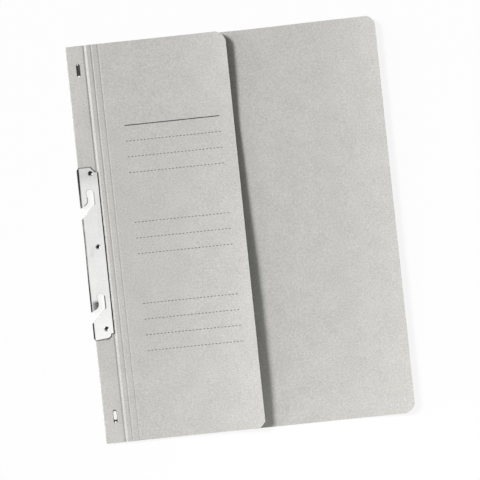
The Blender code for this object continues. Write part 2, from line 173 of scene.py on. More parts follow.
def fold_back(run, left, radius):
    """The other way round: (across, height over the fold's middle) of a run on the outside of the fold."""
    turn = np.clip(run / radius, -1, 1) * np.pi / 2
    across = left + radius * (1 - np.cos(turn)) + np.maximum(np.abs(run) - radius, 0)
    return across, radius * np.sin(turn)


def both_leaves(line, left, radius):
    """Loop on a folded sheet from a line that starts and ends on the fold, mirrored to the other leaf."""
    front = np.column_stack([unfold(line[:, 0], left, radius), line[:, 1]])
    return np.vstack([front, front[-2:0:-1] * [-1, 1]])


def hook_slot(along, grow, left):
    """Line round a hook slot, from the fold along the mouth's lower side, up round the seat, down round the
    finger and out to the fold again. Seat and finger are arcs, and the mouth slants at 45 degrees."""
    right = SEAT_ACROSS + SEAT_RADIUS + grow
    bend = along - SLOT_STRAIGHT - grow
    finger = arc((FINGER_ACROSS, along - FINGER_DROP), FINGER_RADIUS - grow, 15, -80, 10)
    tip_slope = (finger[-1, 1] - (along + FINGER_TIP[1] + grow)) / (finger[-1, 0] - FINGER_TIP[0])
    tip = finger[-1, 1] - tip_slope * (finger[-1, 0] - left)
    start = [[left, bend - (right - left)], [right, bend]]
    seat = arc((SEAT_ACROSS, along), SEAT_RADIUS + grow, 0, 200, 20)
    return dense(np.vstack([start, seat, finger, [[left, tip]]]), 0.5)


def oblong(across, along, width, length):
    """Closed outline of an upright slot or bar with half-round ends."""
    reach = (length - width) / 2
    upper = arc((across, along + reach), width / 2, 0, 180, 12)
    lower = arc((across, along - reach), width / 2, 180, 360, 12)
    return dense(np.vstack([upper, lower, upper[:1]]), 1.0)[:-1]


def circle(across, along, radius, sides=32):
    """Closed outline of a round hole."""
    return arc((across, along), radius, 0, 360, sides)[:-1]


def inset(loop, amount):
    """Loop moved to its left, each corner along the mean normal of its two edges."""
    ahead = np.roll(loop, -1, 0) - loop
    normal = np.column_stack([-ahead[:, 1], ahead[:, 0]]) / np.linalg.norm(ahead, axis=1)[:, None]
    before = np.roll(normal, 1, 0)
    share = np.maximum(1 + (normal * before).sum(1), 0.4)
    return loop + amount * (normal + before) / share[:, None]


def inside(spots, loop):
    """Even-odd test of spots against a closed loop, by the crossings of a ray along the first axis."""
    p, q = spots[:, :1], spots[:, 1:]
    (p0, q0), (p1, q1) = loop.T, np.roll(loop, -1, 0).T
    level = np.where(q1 == q0, 1, q1 - q0)
    crossed = ((q0 > q) != (q1 > q)) & (p < p0 + (q - q0) * (p1 - p0) / level)
    return crossed.sum(1) % 2 == 1


def lattice(p_lines, q_lines):
    """Every crossing of two sets of lines."""
    return np.stack(np.meshgrid(p_lines, q_lines, indexing="ij"), -1).reshape(-1, 2)


def round_edges(loops):
    """Numbers of the points of all loops, and for each point that of the next one round its loop."""
    counts = [len(loop) for loop in loops]
    ends = np.cumsum(counts)
    here = np.arange(ends[-1])
    there = here + 1
    there[ends - 1] = ends - counts
    return here, there


def fill(loops, grid, clear):
    """Constrained Delaunay triangles inside the first loop and outside the others, through the loops' points
    and those of the grid that keep clear of them."""
    rim = np.vstack(loops)
    parts = np.array_split(grid, 1 + len(grid) // 2000)
    gaps = [np.hypot(part[:, :1] - rim[:, 0], part[:, 1:] - rim[:, 1]).min(1) for part in parts]
    spots = np.vstack([rim, grid[np.concatenate(gaps) > clear]])
    edges = np.column_stack(round_edges(loops))
    out = delaunay_2d_cdt(spots.tolist(), edges.tolist(), [], 1, 1e-6)
    first = np.array([ids[0] for ids in out[3]])
    triangles = first[np.array(out[2])]
    middles = spots[triangles].mean(1)
    keep = inside(middles, loops[0])
    for hole in loops[1:]:
        keep &= ~inside(middles, hole)
    triangles = triangles[keep]
    used = np.union1d(np.arange(len(rim)), triangles)
    return spots[used], np.searchsorted(used, triangles)


def unit(vectors):
    """Vectors at length 1."""
    return vectors / np.linalg.norm(vectors, axis=1)[:, None]


def normals(surface, spots):
    """Unit normals of a surface of two parameters, from its slopes along both."""
    p, q = spots.T
    step = 0.01
    along_p = surface(p + step, q) - surface(p - step, q)
    along_q = surface(p, q + step) - surface(p, q - step)
    return unit(np.cross(along_p, along_q))


def put(name, data):
    """A new object in the scene."""
    made = bpy.data.objects.new(name, data)
    bpy.context.scene.collection.objects.link(made)
    return made


def make_piece(name, points, faces, material, body=None, slot=None, shading=None, marks=None):
    """A mesh piece from points in millimetres, shaded by the normals given with them or else with every turn
    of more than 40 degrees sharp. marks are values of painted shade on the points for its material."""
    mesh = bpy.data.meshes.new(name)
    mesh.from_pydata(points * MM + [SPINE_X, 0, 0], [], faces)
    mesh.shade_smooth()
    if shading is None:
        mesh.set_sharp_from_angle(angle=np.radians(40))
    else:
        mesh.normals_split_custom_set_from_vertices(shading)
    if marks is not None:
        mesh.attributes.new("mark", "FLOAT", "POINT").data.foreach_set("value", np.float32(marks))
    mesh.materials.append(material)
    piece = put(name, mesh)
    if body:
        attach(piece, body)
    return piece


def sheet_piece(
    name, loops, grid, surface, thickness, material, rounding=0.0, clear=0.1, mark=None, plain=0, **use,
):
    """Closed sheet of even thickness on a surface of two parameters. Its face fills the loops, drawn in by
    the rounding; its back is the face moved in along the normals; the edge between them is a plain wall, or a
    quarter circle, a straight side and another. mark gives the shade painted on its face; its edge is painted
    dark in full, but for that of the last few loops, the plain ones."""
    spots, triangles = fill([inset(loop, rounding) for loop in loops], grid, clear)
    rim = np.vstack(loops)
    count, edge = len(spots), len(rim)
    face, face_normal = surface(*spots.T), normals(surface, spots)
    rings, ring_normals = [], []
    if rounding:
        edge_normal = face_normal[:edge]
        outward = unit(surface(*rim.T) - face[:edge])
        for turn, low in ((45, False), (90, False), (90, True), (45, True)):
            sine, cosine = np.sin(np.radians(turn)), np.cos(np.radians(turn))
            drawn = np.vstack([inset(loop, rounding * (1 - sine)) for loop in loops])
            depth = rounding * (1 - cosine)
            rings.append(surface(*drawn.T) - (thickness - depth if low else depth) * edge_normal)
            ring_normals.append(sine * outward + (-cosine if low else cosine) * edge_normal)
    points = np.vstack([face, *rings, face - thickness * face_normal])
    back = count + len(rings) * edge
    starts = [0] + [count + k * edge for k in range(len(rings))] + [back]
    here, there = round_edges(loops)
    faces = triangles.tolist() + (triangles[:, ::-1] + back).tolist()
    for upper, lower in zip(starts, starts[1:]):
        faces += np.column_stack([upper + here, lower + here, lower + there, upper + there]).tolist()
    if rounding:
        use["shading"] = np.vstack([face_normal, *ring_normals, -face_normal])
    shade = mark(*spots.T) if mark else np.zeros(count)
    cut = np.repeat(np.arange(len(loops)) < len(loops) - plain, [len(loop) for loop in loops])
    use["marks"] = np.concatenate([shade, *[cut] * len(rings), np.zeros(count)])
    return make_piece(name, points, faces, material, **use)


def add_node(tree, kind, inputs=None, **settings):
    """A shader node with its settings, and its inputs as values or as links from other sockets."""
    made = tree.nodes.new(kind)
    for name, value in settings.items():
        setattr(made, name, value)
    for name, value in (inputs or {}).items():
        if isinstance(value, bpy.types.NodeSocket):
            tree.links.new(value, made.inputs[name])
        else:
            made.inputs[name].default_value = value
    return made


def noise(tree, scale, detail=2.0, rough=0.5, stretch=None):
    """Noise on Object coordinates, so many features to the metre, drawn out along an axis where asked."""
    coords = add_node(tree, "ShaderNodeTexCoord").outputs["Object"]
    if stretch:
        coords = add_node(tree, "ShaderNodeMapping", {"Vector": coords, "Scale": stretch}).outputs[0]
    inputs = {"Vector": coords, "Scale": scale, "Detail": detail, "Roughness": rough}
    return add_node(tree, "ShaderNodeTexNoise", inputs).outputs["Fac"]


def spread(tree, value, low, high, to_low=0.0, to_high=1.0):
    """A value from one range carried to another and held at its ends."""
    inputs = {"Value": value, "From Min": low, "From Max": high, "To Min": to_low, "To Max": to_high}
    return add_node(tree, "ShaderNodeMapRange", inputs).outputs[0]


def combine(tree, operation, *values):
    """Values joined by a math operation."""
    return add_node(tree, "ShaderNodeMath", dict(enumerate(values)), operation=operation).outputs[0]


def weigh(tree, parts):
    """Sum of values, each times its share."""
    total = 0.0
    for value, share in parts:
        total = combine(tree, "MULTIPLY_ADD", value, share, total)
    return total


def painted_shade_marks(tree):
    """Mask of shade and dark reflections painted on a piece, as on cut edges, from the attribute that marks
    them.
    """
    return add_node(tree, "ShaderNodeAttribute", attribute_name="mark").outputs["Fac"]


def blend_colour(tree, factor, first, second):
    """Two colours mixed by a factor."""
    inputs = {0: factor, 6: first, 7: second}
    return add_node(tree, "ShaderNodeMix", inputs, data_type="RGBA").outputs[2]


def new_group(name, inputs, outputs):
    """An empty shader group with its sockets, and its input and output nodes."""
    group = bpy.data.node_groups.new(name, "ShaderNodeTree")
    for side, sockets in (("INPUT", inputs), ("OUTPUT", outputs)):
        for label, kind in sockets.items():
            group.interface.new_socket(label, in_out=side, socket_type="NodeSocket" + kind)
    return group, group.nodes.new("NodeGroupInput").outputs, group.nodes.new("NodeGroupOutput").inputs


def new_material(name, roughness, metallic=0.0):
    """A Principled material, with its tree and its shader."""
    material = bpy.data.materials.new(name)
    material.use_nodes = True
    shader = material.node_tree.nodes["Principled BSDF"]
    shader.inputs["Roughness"].default_value = roughness
    shader.inputs["Metallic"].default_value = metallic
    return material, material.node_tree, shader


def use_group(tree, shader, group, colours, strength, depth):
    """A group in a material with its colours, and its height as a bump so many millimetres deep."""
    made = add_node(tree, "ShaderNodeGroup", node_tree=group)
    for label, colour in colours.items():
        made.inputs[label].default_value = (*colour, 1.0)
    relief = {"Strength": strength, "Distance": depth * MM, "Height": made.outputs["Height"]}
    tree.links.new(add_node(tree, "ShaderNodeBump", relief).outputs[0], shader.inputs["Normal"])
    return made


def pulp_group():
    """Recycled pulp: clouds of some centimetres, mottle of a millimetre and fibres of some tenths move
    the colour between a dark and a light one; sparse long fibres show as flecks."""
    group, given, out = new_group(
        "recycled pulp",
        {"Dark": "Color", "Light": "Color", "Fleck": "Color"},
        {"Color": "Color", "Height": "Float"},
    )
    clouds = noise(group, 60)
    mottle = noise(group, 1000, 3.0, 0.6)
    fibres = noise(group, 1900, 2.0, 0.6, (1.0, 0.45, 1.0))
    tone = weigh(group, ((mottle, 0.58), (fibres, 0.3), (clouds, 0.12)))
    colour = blend_colour(group, spread(group, tone, 0.36, 0.64), given["Dark"], given["Light"])
    strands = noise(group, 900, 2.0, 0.5, (0.5, 2.2, 1.0))
    fleck = spread(group, strands, 0.70, 0.78, 0.0, 0.55)
    group.links.new(blend_colour(group, fleck, colour, given["Fleck"]), out["Color"])
    group.links.new(combine(group, "ADD", fibres, mottle), out["Height"])
    return group


def card_material(name, colours):
    """Uncoated card: pulp colour, dull, with a faint tooth, and darker by its marks of painted shade and
    shadow.
    """
    material, tree, shader = new_material(name, 0.92)
    shader.inputs["Specular IOR Level"].default_value = 0.25
    pulp = use_group(tree, shader, PULP, colours, 0.35, 0.02)
    colour = blend_colour(tree, painted_shade_marks(tree), pulp.outputs["Color"], PAINTED_SHADE_COLOUR)
    tree.links.new(colour, shader.inputs["Base Color"])
    return material


PULP = pulp_group()
GREY_CARD = card_material("grey card", GREY)


def droop(across, along):
    """How far the margin hangs down where no plate holds it: most at the spine edge, and less as the 1.5th
    power of the way from the seam."""
    free = sum(ease(along, *end) for end in MARGIN_FREE)
    return MARGIN_DROOP * free * np.clip(1 - across / SEAM_MARGIN, 0, 1) ** 1.5


def askew(across):
    """How far up the sheet lies, which was cut a little askew: an eased step, high on the spine side."""
    return ASKEW * (1 - ease(across, *ASKEW_STEP))


def laid(across, along):
    """Where a place of the nominal sheet lies along the folder: stretched to its length, and askew."""
    stretch, shift = SHEET_LENGTH
    return stretch * along + shift + askew(across)


def taper(across, along):
    """How far the back's top edge stands out: an eased step down under the front cover and one up towards
    the fore edge, both growing from the folder's middle to its top."""
    step = TAPER_RISE * ease(across, *TAPER_OUT) - TAPER_FALL * ease(across, *TAPER_IN)
    return step * ease(along, 0, HALF_HEIGHT)


def back_sheet(p, q):
    """Outside of the folded sheet. p is minus the distance across on the back, passes 0 at the spine edge in
    a half turn, and is the distance across on the margin's front. The back steps down from the margin to the
    table and curls up at the fore edge as a power of the way there, higher towards the top; the fore edge
    leans in towards the top."""
    across, lift = fold_back(p, 0, FOLD_RADIUS)
    way = np.maximum((across - BACK_CURL_START) / (CARD_WIDTH - BACK_CURL_START), 0)
    curl = BACK_CURL_RISE * way ** (BACK_CURL[0] + BACK_CURL[1] * ease(q, *CURL_TOP))
    step = MARGIN_BACK * ease(across, *BACK_STEP)
    height = FOLD_HEIGHT + lift - np.where(p < 0, step - curl, 0) - droop(across, q)
    leaning = across - FORE_LEAN * ease(q, *LEAN_UP) * np.minimum(way, 1)
    return np.column_stack([leaning, laid(across, q) + taper(across, q), height])


def bell(across, along, line, width):
    """Bell over the distance from a line."""
    start, run = np.array(line[:-1]), np.diff(line, axis=0)
    away = np.column_stack([across, along])[:, None] - start
    share = np.clip((away * run).sum(-1) / (run ** 2).sum(-1), 0, 1)
    gap = np.linalg.norm(away - share[..., None] * run, axis=-1).min(1)
    return swell(gap, 0, width)


def plate_edge_painted_shadow(p, q):
    """Painted shadow of the steel plate's edges on the card: the most of a bell along each of them."""
    along = laid(p, q)
    return np.max([share * bell(p, along, line, width) for width, share, *line in PLATE_SHADOW_LINES], 0)


def panel_outline(p_lines, left_q, right_q, corners=None):
    """Outline of a panel of card: up its right side, along the top, down its left side and along the bottom.
    corners are the cuts at the upper and the lower end of its right side."""
    edge, clear = p_lines[-1], 0
    top = bottom = np.array([[edge, HALF_HEIGHT]])
    if corners:
        clear = CORNER_CLEAR
        top, bottom = (corner_cut(edge, corner) for corner in corners)
    right = right_q[(right_q < top[-1, 1] - clear) & (right_q > clear - bottom[-1, 1])]
    across = p_lines[1:-1]
    upper = straight(across[across < top[0, 0] - clear][::-1], HALF_HEIGHT)
    lower = straight(across[across < bottom[0, 0] - clear], -HALF_HEIGHT)
    left = straight(p_lines[0], left_q[::-1])
    return np.vstack([straight(edge, right), top[::-1], upper, left, lower, bottom * [1, -1]])


def margin_holes():
    """Hook cut-outs, end slots and rivet holes, punched through both leaves of the margin."""
    holes = [both_leaves(hook_slot(along, CARD_CLEARANCE, 0), 0, FOLD_RADIUS) for along in HOOK_SEATS]
    flat = [oblong(*place, *TAB_SLOT) for place in TAB_SLOTS]
    flat += [circle(RIVET_ACROSS, place, RIVET_CARD_HOLE) for place in RIVETS_ALONG.values()]
    holes += flat + [loop[::-1] * [-1, 1] for loop in flat]
    stretch, shift = SHEET_LENGTH
    for hole in holes:
        hole[:, 1] = (hole[:, 1] - shift - askew(np.abs(hole[:, 0]))) / stretch
    return [hole[::-1] for hole in holes]


back_p = ticks((-CARD_WIDTH, -20, 74), (-19, -15, 9))
margin_p = ticks((-14, -1, 12), (-FOLD_RADIUS, FOLD_RADIUS, 13), (1, 9, 8), (9.3, SEAM_MARGIN, 13))
card_p = np.concatenate([back_p, margin_p])
card_q = np.linspace(-HALF_HEIGHT, HALF_HEIGHT, 103)
margin_q = ticks(
    (-HALF_HEIGHT, -76, 26), (-74.6, -68.4, 22), (-67, 54.5, 42), (55.4, 61, 24), (62.5, HALF_HEIGHT, 31),
)
back_outline = panel_outline(-card_p[::-1], margin_q, card_q, BACK_CORNERS)[::-1] * [-1, 1]
card_back = sheet_piece(
    "card_back_and_margin", [back_outline, *margin_holes()],
    np.vstack([lattice(back_p, card_q), lattice(margin_p, margin_q)]), back_sheet, CARD, GREY_CARD,
    mark=plate_edge_painted_shadow, body="back", slot="grey_card",
)
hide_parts("back_cover", "spine_margin")


# Spine stiffener
# A strip of pressed board lies loose between the two leaves of the margin, cut out behind the hooks.
# Only the slots near its ends show it, with slots and small eyes of its own.

# Its dark colour is painted shade, standing for the shadowed inside of the margin seen through the end slots.
BOARD_SHADE_COLOURS = {"Dark": (0.04, 0.038, 0.034), "Light": (0.075, 0.072, 0.065), "Fleck": (0.12, 0.115, 0.1)}
BOARD_SHEET = 0.4
BOARD_TOP = 1.6
BOARD_ACROSS = (1.6, 12.6)
BOARD_REACH = 150.5
BOARD_SLOTS = ((8.35, 125.4, 2.5, 9.6), (9.0, -131.3, 2.5, 7.0))
BOARD_EYES = ((8.0, 138.5, 0.5), (8.9, -136.5, 0.75))
BOARD_CLEARANCE = 1.0
NOTCH_CLEAR = 0.5


def board_sheet(p, q):
    """Top of the board over (across, along), as low as the margin round it."""
    return np.column_stack([p, q, BOARD_TOP - droop(p, q)])


def board_outline(q_lines):
    """Outline of the board: up its right side and down its left, in and out of both hook cut-outs."""
    left, right = BOARD_ACROSS
    loop = [straight(right, q_lines)]
    down = q_lines[::-1]
    for along in HOOK_SEATS:
        notch = hook_slot(along, BOARD_CLEARANCE, left)[::-1]
        notch = notch[notch[:, 0] > left - 1e-6]
        above = down[down > notch[0, 1] + NOTCH_CLEAR]
        down = down[down < notch[-1, 1] - NOTCH_CLEAR]
        loop += [straight(left, above), notch]
    return np.vstack([*loop, straight(left, down)])


board_q = np.linspace(-BOARD_REACH, BOARD_REACH, 102)
board_holes = [oblong(*slot) for slot in BOARD_SLOTS] + [circle(*eye, 12) for eye in BOARD_EYES]
board_holes += [circle(RIVET_ACROSS, along, RIVET_CARD_HOLE) for along in RIVETS_ALONG.values()]
board = sheet_piece(
    "spine_stiffener_board", [board_outline(board_q), *(hole[::-1] for hole in board_holes)],
    lattice(np.linspace(2.5, 11.7, 8), board_q[1:-1]), board_sheet, BOARD_SHEET,
    card_material("dark pressed board", BOARD_SHADE_COLOURS), clear=0.4, body="back", slot="dark_board",
)
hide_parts("spine_stiffener")


# Grey card, front half
# The same sheet runs on from the margin over three pressed creases to the half-width front cover. The cover
# lifts off the back and curls to its free edge, and it was folded a little high.

FRONT_WIDTH = 122.9
SEAM_INNER = 19.2
SEAM_OUTER = 24.4
# Each groove: place, width, depth, and the share of shade painted over it.
GROOVES = ((14.55, 0.62, 0.40, 0.16), (20.15, 0.55, 0.25, 0.07), (25.35, 0.50, 0.17, 0.08))
GROOVE_LEAN = (0.1, -0.0035)
GROOVE_FADE = (0.9, 0.0014)
STEP_UP = (14.9, 16.9)
STEP_RISE = 0.95
STRIP_WAY = (16.5, 25.4)
STRIP_RISE = 0.10
SAGS = ((-60.0, -100.0, 0.25), (50.0, 120.0, 0.45))
COVER_START = 25.65
COVER_UNDER = 2.8
COVER_DIP = -0.015
COVER_CURL = (3.2, 1.4)
EDGE_GAP = (6.06, 1.62, 2.85)
EDGE_SWELLS = ((125.0, 17.0, 0.62), (80.0, 15.0, -0.45), (-25.0, 28.0, 0.2), (-118.0, 15.0, 0.24))
FRONT_CORNERS = ((7.4, 10.0), (4.7, 18.0))
HIGHER = 0.06
HIGHER_STEP = (13.0, 22.0)
SHOULDER_PAINTED_SHADE = (16.4, 0.6, 0.10)
SHOULDER_FREE = (-6.75, 64.0, 72.0)


def front_sheet(p, q):
    """Top of the front half over (across, along). It steps up from the margin and is pressed down in a
    bell-shaped groove at each crease; the creases lean a little and are deeper towards the top, and the
    strips between them sag at both ends. The cover slopes down a little and rises to the free edge as a power
    of the way there, higher towards the top; the free edge waves as a sine along it, with a bell for each
    swell and hollow of the card."""
    run = FRONT_WIDTH - COVER_START
    part = np.clip((p - COVER_START) / run, 0, None)
    across = p - GROOVE_LEAN[0] - GROOVE_LEAN[1] * q
    low, high = (sag * ease(q, start, end) * (1 - part) for start, end, sag in SAGS)
    height = MARGIN_FRONT + (STEP_RISE - low) * ease(across, *STEP_UP)
    height = height + (STRIP_RISE - low - high) * np.interp(across, STRIP_WAY, (0, 1))
    mean, wave, radians = EDGE_GAP
    gap = mean - wave * np.sin(radians * q / HALF_HEIGHT)
    for place, width, rise in EDGE_SWELLS:
        gap = gap + rise * swell(q, place, width)
    dip = COVER_DIP * run
    power = COVER_CURL[0] + COVER_CURL[1] * ease(q, *CURL_TOP)
    height = height + dip * part + (CARD + gap - COVER_UNDER - dip) * part ** power
    for place, width, depth, _ in GROOVES:
        pressed = depth * (GROOVE_FADE[0] + GROOVE_FADE[1] * q)
        height = height - pressed * swell(across, place, width)
    return np.column_stack([p, laid(0, q) + HIGHER * ease(p, *HIGHER_STEP), height])


def crease_painted_shade(p, q):
    """Painted shade on the front half: bells over the pressed grooves and, away from the plate, over the
    shoulder of the first; and the painted shadow along the plate's edge."""
    across = p - GROOVE_LEAN[0] - GROOVE_LEAN[1] * q
    middle, start, end = SHOULDER_FREE
    place, width, share = SHOULDER_PAINTED_SHADE
    free = share * ease(np.abs(q - middle), start, end)
    marks = plate_edge_painted_shadow(p, q) + free * swell(across, place, width)
    for place, width, _, share in GROOVES:
        marks = marks + share * swell(across, place, width)
    return marks


def front_piece(name, p_lines, q_lines, clear, corners=None):
    """A piece of the front half between its first and its last lines."""
    loop, grid = panel_outline(p_lines, q_lines, q_lines, corners), lattice(p_lines, q_lines)
    use = {"clear": clear, "mark": crease_painted_shade, "slot": "grey_card"}
    return sheet_piece(name, [loop], grid, front_sheet, CARD, GREY_CARD, **use)


inner_p = np.linspace(SEAM_MARGIN, SEAM_INNER, 52)
outer_p = np.linspace(SEAM_INNER, SEAM_OUTER, 42)
cover_p = ticks((SEAM_OUTER, 27.4, 25), (28.4, FRONT_WIDTH, 64))
strip_inner = front_piece("card_strip_inner", inner_p, margin_q, 0.05)
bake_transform(strip_inner)
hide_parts("crease_strip_inner")
strip_outer = front_piece("card_strip_outer", outer_p, card_q, 0.05)
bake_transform(strip_outer)
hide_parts("crease_strip_outer")
card_front = front_piece("card_front_cover", cover_p, card_q, 0.1, FRONT_CORNERS)
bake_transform(card_front)
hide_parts("front_cover")


# Ruled lines
# Writing lines printed on the front cover in dark ink: one heavy solid line, then three groups of fine dashed
# ones.

LINE_ACROSS = (39.2, 112.0)
SOLID_LINE = 88.22
DASHED_LINES = (76.14, 64.0, 51.92, 13.76, 1.67, -10.41, -48.57, -60.66, -72.69, -84.83)
SOLID_WIDTH = 0.75
DASH_WIDTH = 0.475
DASH_PERIOD = 2.743
DASH_LENGTH = 1.4
INK_FILM = 0.02
INK = ((0.025, 0.025, 0.026, 1), (0.06, 0.06, 0.06, 1))


def ink_bars(starts, ends, alongs, width):
    """Flat bars of ink on the cover, each a box from start to end across, one film thick."""
    left, right, middle = (np.reshape(values, (-1, 1)) for values in (starts, ends, alongs))
    p = left + (right - left) * np.array([[0, 1, 1, 0]])
    q = middle + width / 2 * np.array([[-1, -1, 1, 1]])
    base = front_sheet(p.ravel(), q.ravel()).reshape(-1, 4, 3)
    return np.concatenate([base - [0, 0, INK_FILM / 2], base + [0, 0, INK_FILM]], 1).reshape(-1, 3)


solid_starts = np.linspace(*LINE_ACROSS, 37)
dash_starts = np.arange(LINE_ACROSS[0], LINE_ACROSS[1] - DASH_LENGTH, DASH_PERIOD)
dash_grid, line_grid = np.meshgrid(dash_starts, DASHED_LINES)
ink_points = np.vstack([
    ink_bars(solid_starts[:-1], solid_starts[1:], np.full_like(solid_starts[1:], SOLID_LINE), SOLID_WIDTH),
    ink_bars(dash_grid, dash_grid + DASH_LENGTH, line_grid, DASH_WIDTH),
])
box_faces = np.array([[0, 3, 2, 1], [4, 5, 6, 7], [0, 1, 5, 4], [1, 2, 6, 5], [2, 3, 7, 6], [3, 0, 4, 7]])
ink_faces = (np.arange(0, len(ink_points), 8)[:, None, None] + box_faces).reshape(-1, 4)
ink, ink_tree, ink_shader = new_material("dark printing ink", 0.7)
ink_cover = spread(ink_tree, noise(ink_tree, 2500), 0.35, 0.65)
ink_colour = blend_colour(ink_tree, ink_cover, *INK)
ink_tree.links.new(ink_colour, ink_shader.inputs["Base Color"])
make_piece("ruled_lines", ink_points, ink_faces.tolist(), ink, body="front")


# Hook plate
# A bright zinc-plated steel sheet folded round the spine edge and riveted through the margin. Two hook slots
# are punched through both leaves before it is folded.

PLATE = 0.5
PLATE_LEFT = -1.05
PLATE_RADIUS = 1.4
PLATE_BOW = (0.35, 4.0, 24.0, 6.0)
PLATE_RIGHT = 14.6
PLATE_TOP = 59.3
PLATE_BOTTOM = -72.85
PLATE_SHOULDER = 12.7
PLATE_CHAMFER = 3.2
CHAMFER_DROP = 3.8
SHOULDER_DROP = (4.15, 4.2)
FOLD_CHAMFER = 1.2
PLATE_ROUNDING = 0.14
RIVET_SOCKET = 1.95
# The bend and the lower finger are painted dark, standing for the dark reflections that they show.
BEND_DARK = -0.5
BEND_TOP = (14.0, 54.0)
BEND_CORE = (0.45, 0.92)
BEND_REACH = (1.05, 1.8)
BEND_BRIGHT = 5.0
BEND_FADE = (17.0, 45.0, 0.85)
BOW_FADE = (4.0, 34.0)
FINGER_SHADE = ((-0.4, 2.0, 0.05, 0.66), (2.0, 4.4, 0.0, 0.18))
FINGER_SHADE_TOP = (-41.6, -44.2)
FINGER_SHADE_FOOT = (-52.2, -50.7)
FINGER_SHADE_SIDE = (6.0, 5.5)
# Bands of the plate's length painted darker, standing for a weaker reflection towards its top.
PLATE_SHADE_BANDS = ((-62.0, -42.0, 0.09), (-16.0, 8.0, 0.045), (44.0, 53.0, 0.15))
DARK_PATCHES = ((3.2, 0.2, (4.0, -7.5), (5.0, -2.5)), (2.6, 0.165, (12.3, 0.0), (12.3, 36.0)))
SLOT_SHADE = ((0.85, 0.55), (0.3, 1.0))
SLOT_SHADE_WIDTH = (0.6, 0.65)
SLOT_SIDE = 10.3
SIDE_SHADED = (-8.8, 0.2)


def plate_sheet(p, q):
    """Outside of the plate: a half turn round the spine edge at p 0, with a level leaf on both sides. The
    fold is drawn in by a bell along it, which fades over the leaves."""
    across, lift = fold_back(p, PLATE_LEFT, PLATE_RADIUS)
    bow, middle, width, reach = PLATE_BOW
    drawn = bow * swell(q, middle, width) * (1 - ease(across, 0, reach))
    return np.column_stack([across + drawn, q, PLATE_RADIUS + lift])


def plate_line():
    """Line round the front leaf from the fold's lower end to its upper end, with a rounded lower shoulder, a
    chamfered upper one and small chamfers at the fold."""
    left, low, right, high = PLATE_LEFT, PLATE_BOTTOM, PLATE_RIGHT, PLATE_TOP
    fold, inner = left + FOLD_CHAMFER, PLATE_SHOULDER - PLATE_CHAMFER
    foot, head = low + SHOULDER_DROP[0], high - SHOULDER_DROP[1]
    corners = [
        [[left, low + FOLD_CHAMFER], [fold, low]],
        arc((inner, foot), PLATE_CHAMFER, -75, 0, 8),
        [[right, foot], [right, head]],
        [[PLATE_SHOULDER, high - CHAMFER_DROP], [inner, high]],
        [[fold, high], [left, high - FOLD_CHAMFER]],
    ]
    return dense(np.vstack(corners), 0.8)


def plated_group():
    """Rolled plating: long faint streaks along the sheet, a cloudy bloom and a fine grain, and darkened by a
    mask of painted shade."""
    group, given, out = new_group(
        "rolled plating",
        {"Bright": "Color", "Dull": "Color", "Painted Shade": "Float"},
        {"Color": "Color", "Roughness": "Float", "Height": "Float"},
    )
    streaks = noise(group, 1400, 3.0, 0.6, (1.0, 0.05, 1.0))
    bloom = noise(group, 120, 3.0, 0.55)
    grain = noise(group, 1000, 3.0, 0.6)
    tone = weigh(group, ((streaks, 0.15), (bloom, 0.35), (grain, 0.5)))
    shade = combine(group, "ADD", spread(group, tone, 0.35, 0.65, -0.055, 0.155), given["Painted Shade"])
    shade = combine(group, "MINIMUM", shade, 1.0)
    group.links.new(blend_colour(group, shade, given["Bright"], given["Dull"]), out["Color"])
    group.links.new(spread(group, tone, 0.3, 0.7, 0.24, 0.38), out["Roughness"])
    group.links.new(streaks, out["Height"])
    return group


def plated_material(name, bright, dull, painted_shade):
    """Plated sheet steel. painted_shade makes the mask of painted shade from the material's tree."""
    material, tree, shader = new_material(name, 0.3, 1.0)
    plating = use_group(tree, shader, PLATING, {"Bright": bright, "Dull": dull}, 0.15, 0.01)
    tree.links.new(painted_shade(tree), plating.inputs["Painted Shade"])
    tree.links.new(plating.outputs["Color"], shader.inputs["Base Color"])
    tree.links.new(plating.outputs["Roughness"], shader.inputs["Roughness"])
    return material


def leaf_painted_shade(p, q):
    """Painted shade on the front leaf: the most of a bell along each finger's arc and each slot's inner side,
    for the shadow and dark reflections there, and of a broad bell over each darker patch of the plating."""
    across = p + PLATE_LEFT
    shades = [share * bell(across, q, line, width) for width, share, *line in DARK_PATCHES]
    finger_width, side_width = SLOT_SHADE_WIDTH
    for along, (finger_share, side_share) in zip(HOOK_SEATS, SLOT_SHADE):
        finger = arc((FINGER_ACROSS, along - FINGER_DROP), FINGER_RADIUS, 20, -65, 8)
        side = straight(SLOT_SIDE, along + np.array(SIDE_SHADED))
        shades.append(finger_share * bell(across, q, finger, finger_width))
        shades.append(side_share * bell(across, q, side, side_width))
    return np.where(p > 0, np.max(shades, 0), 0)


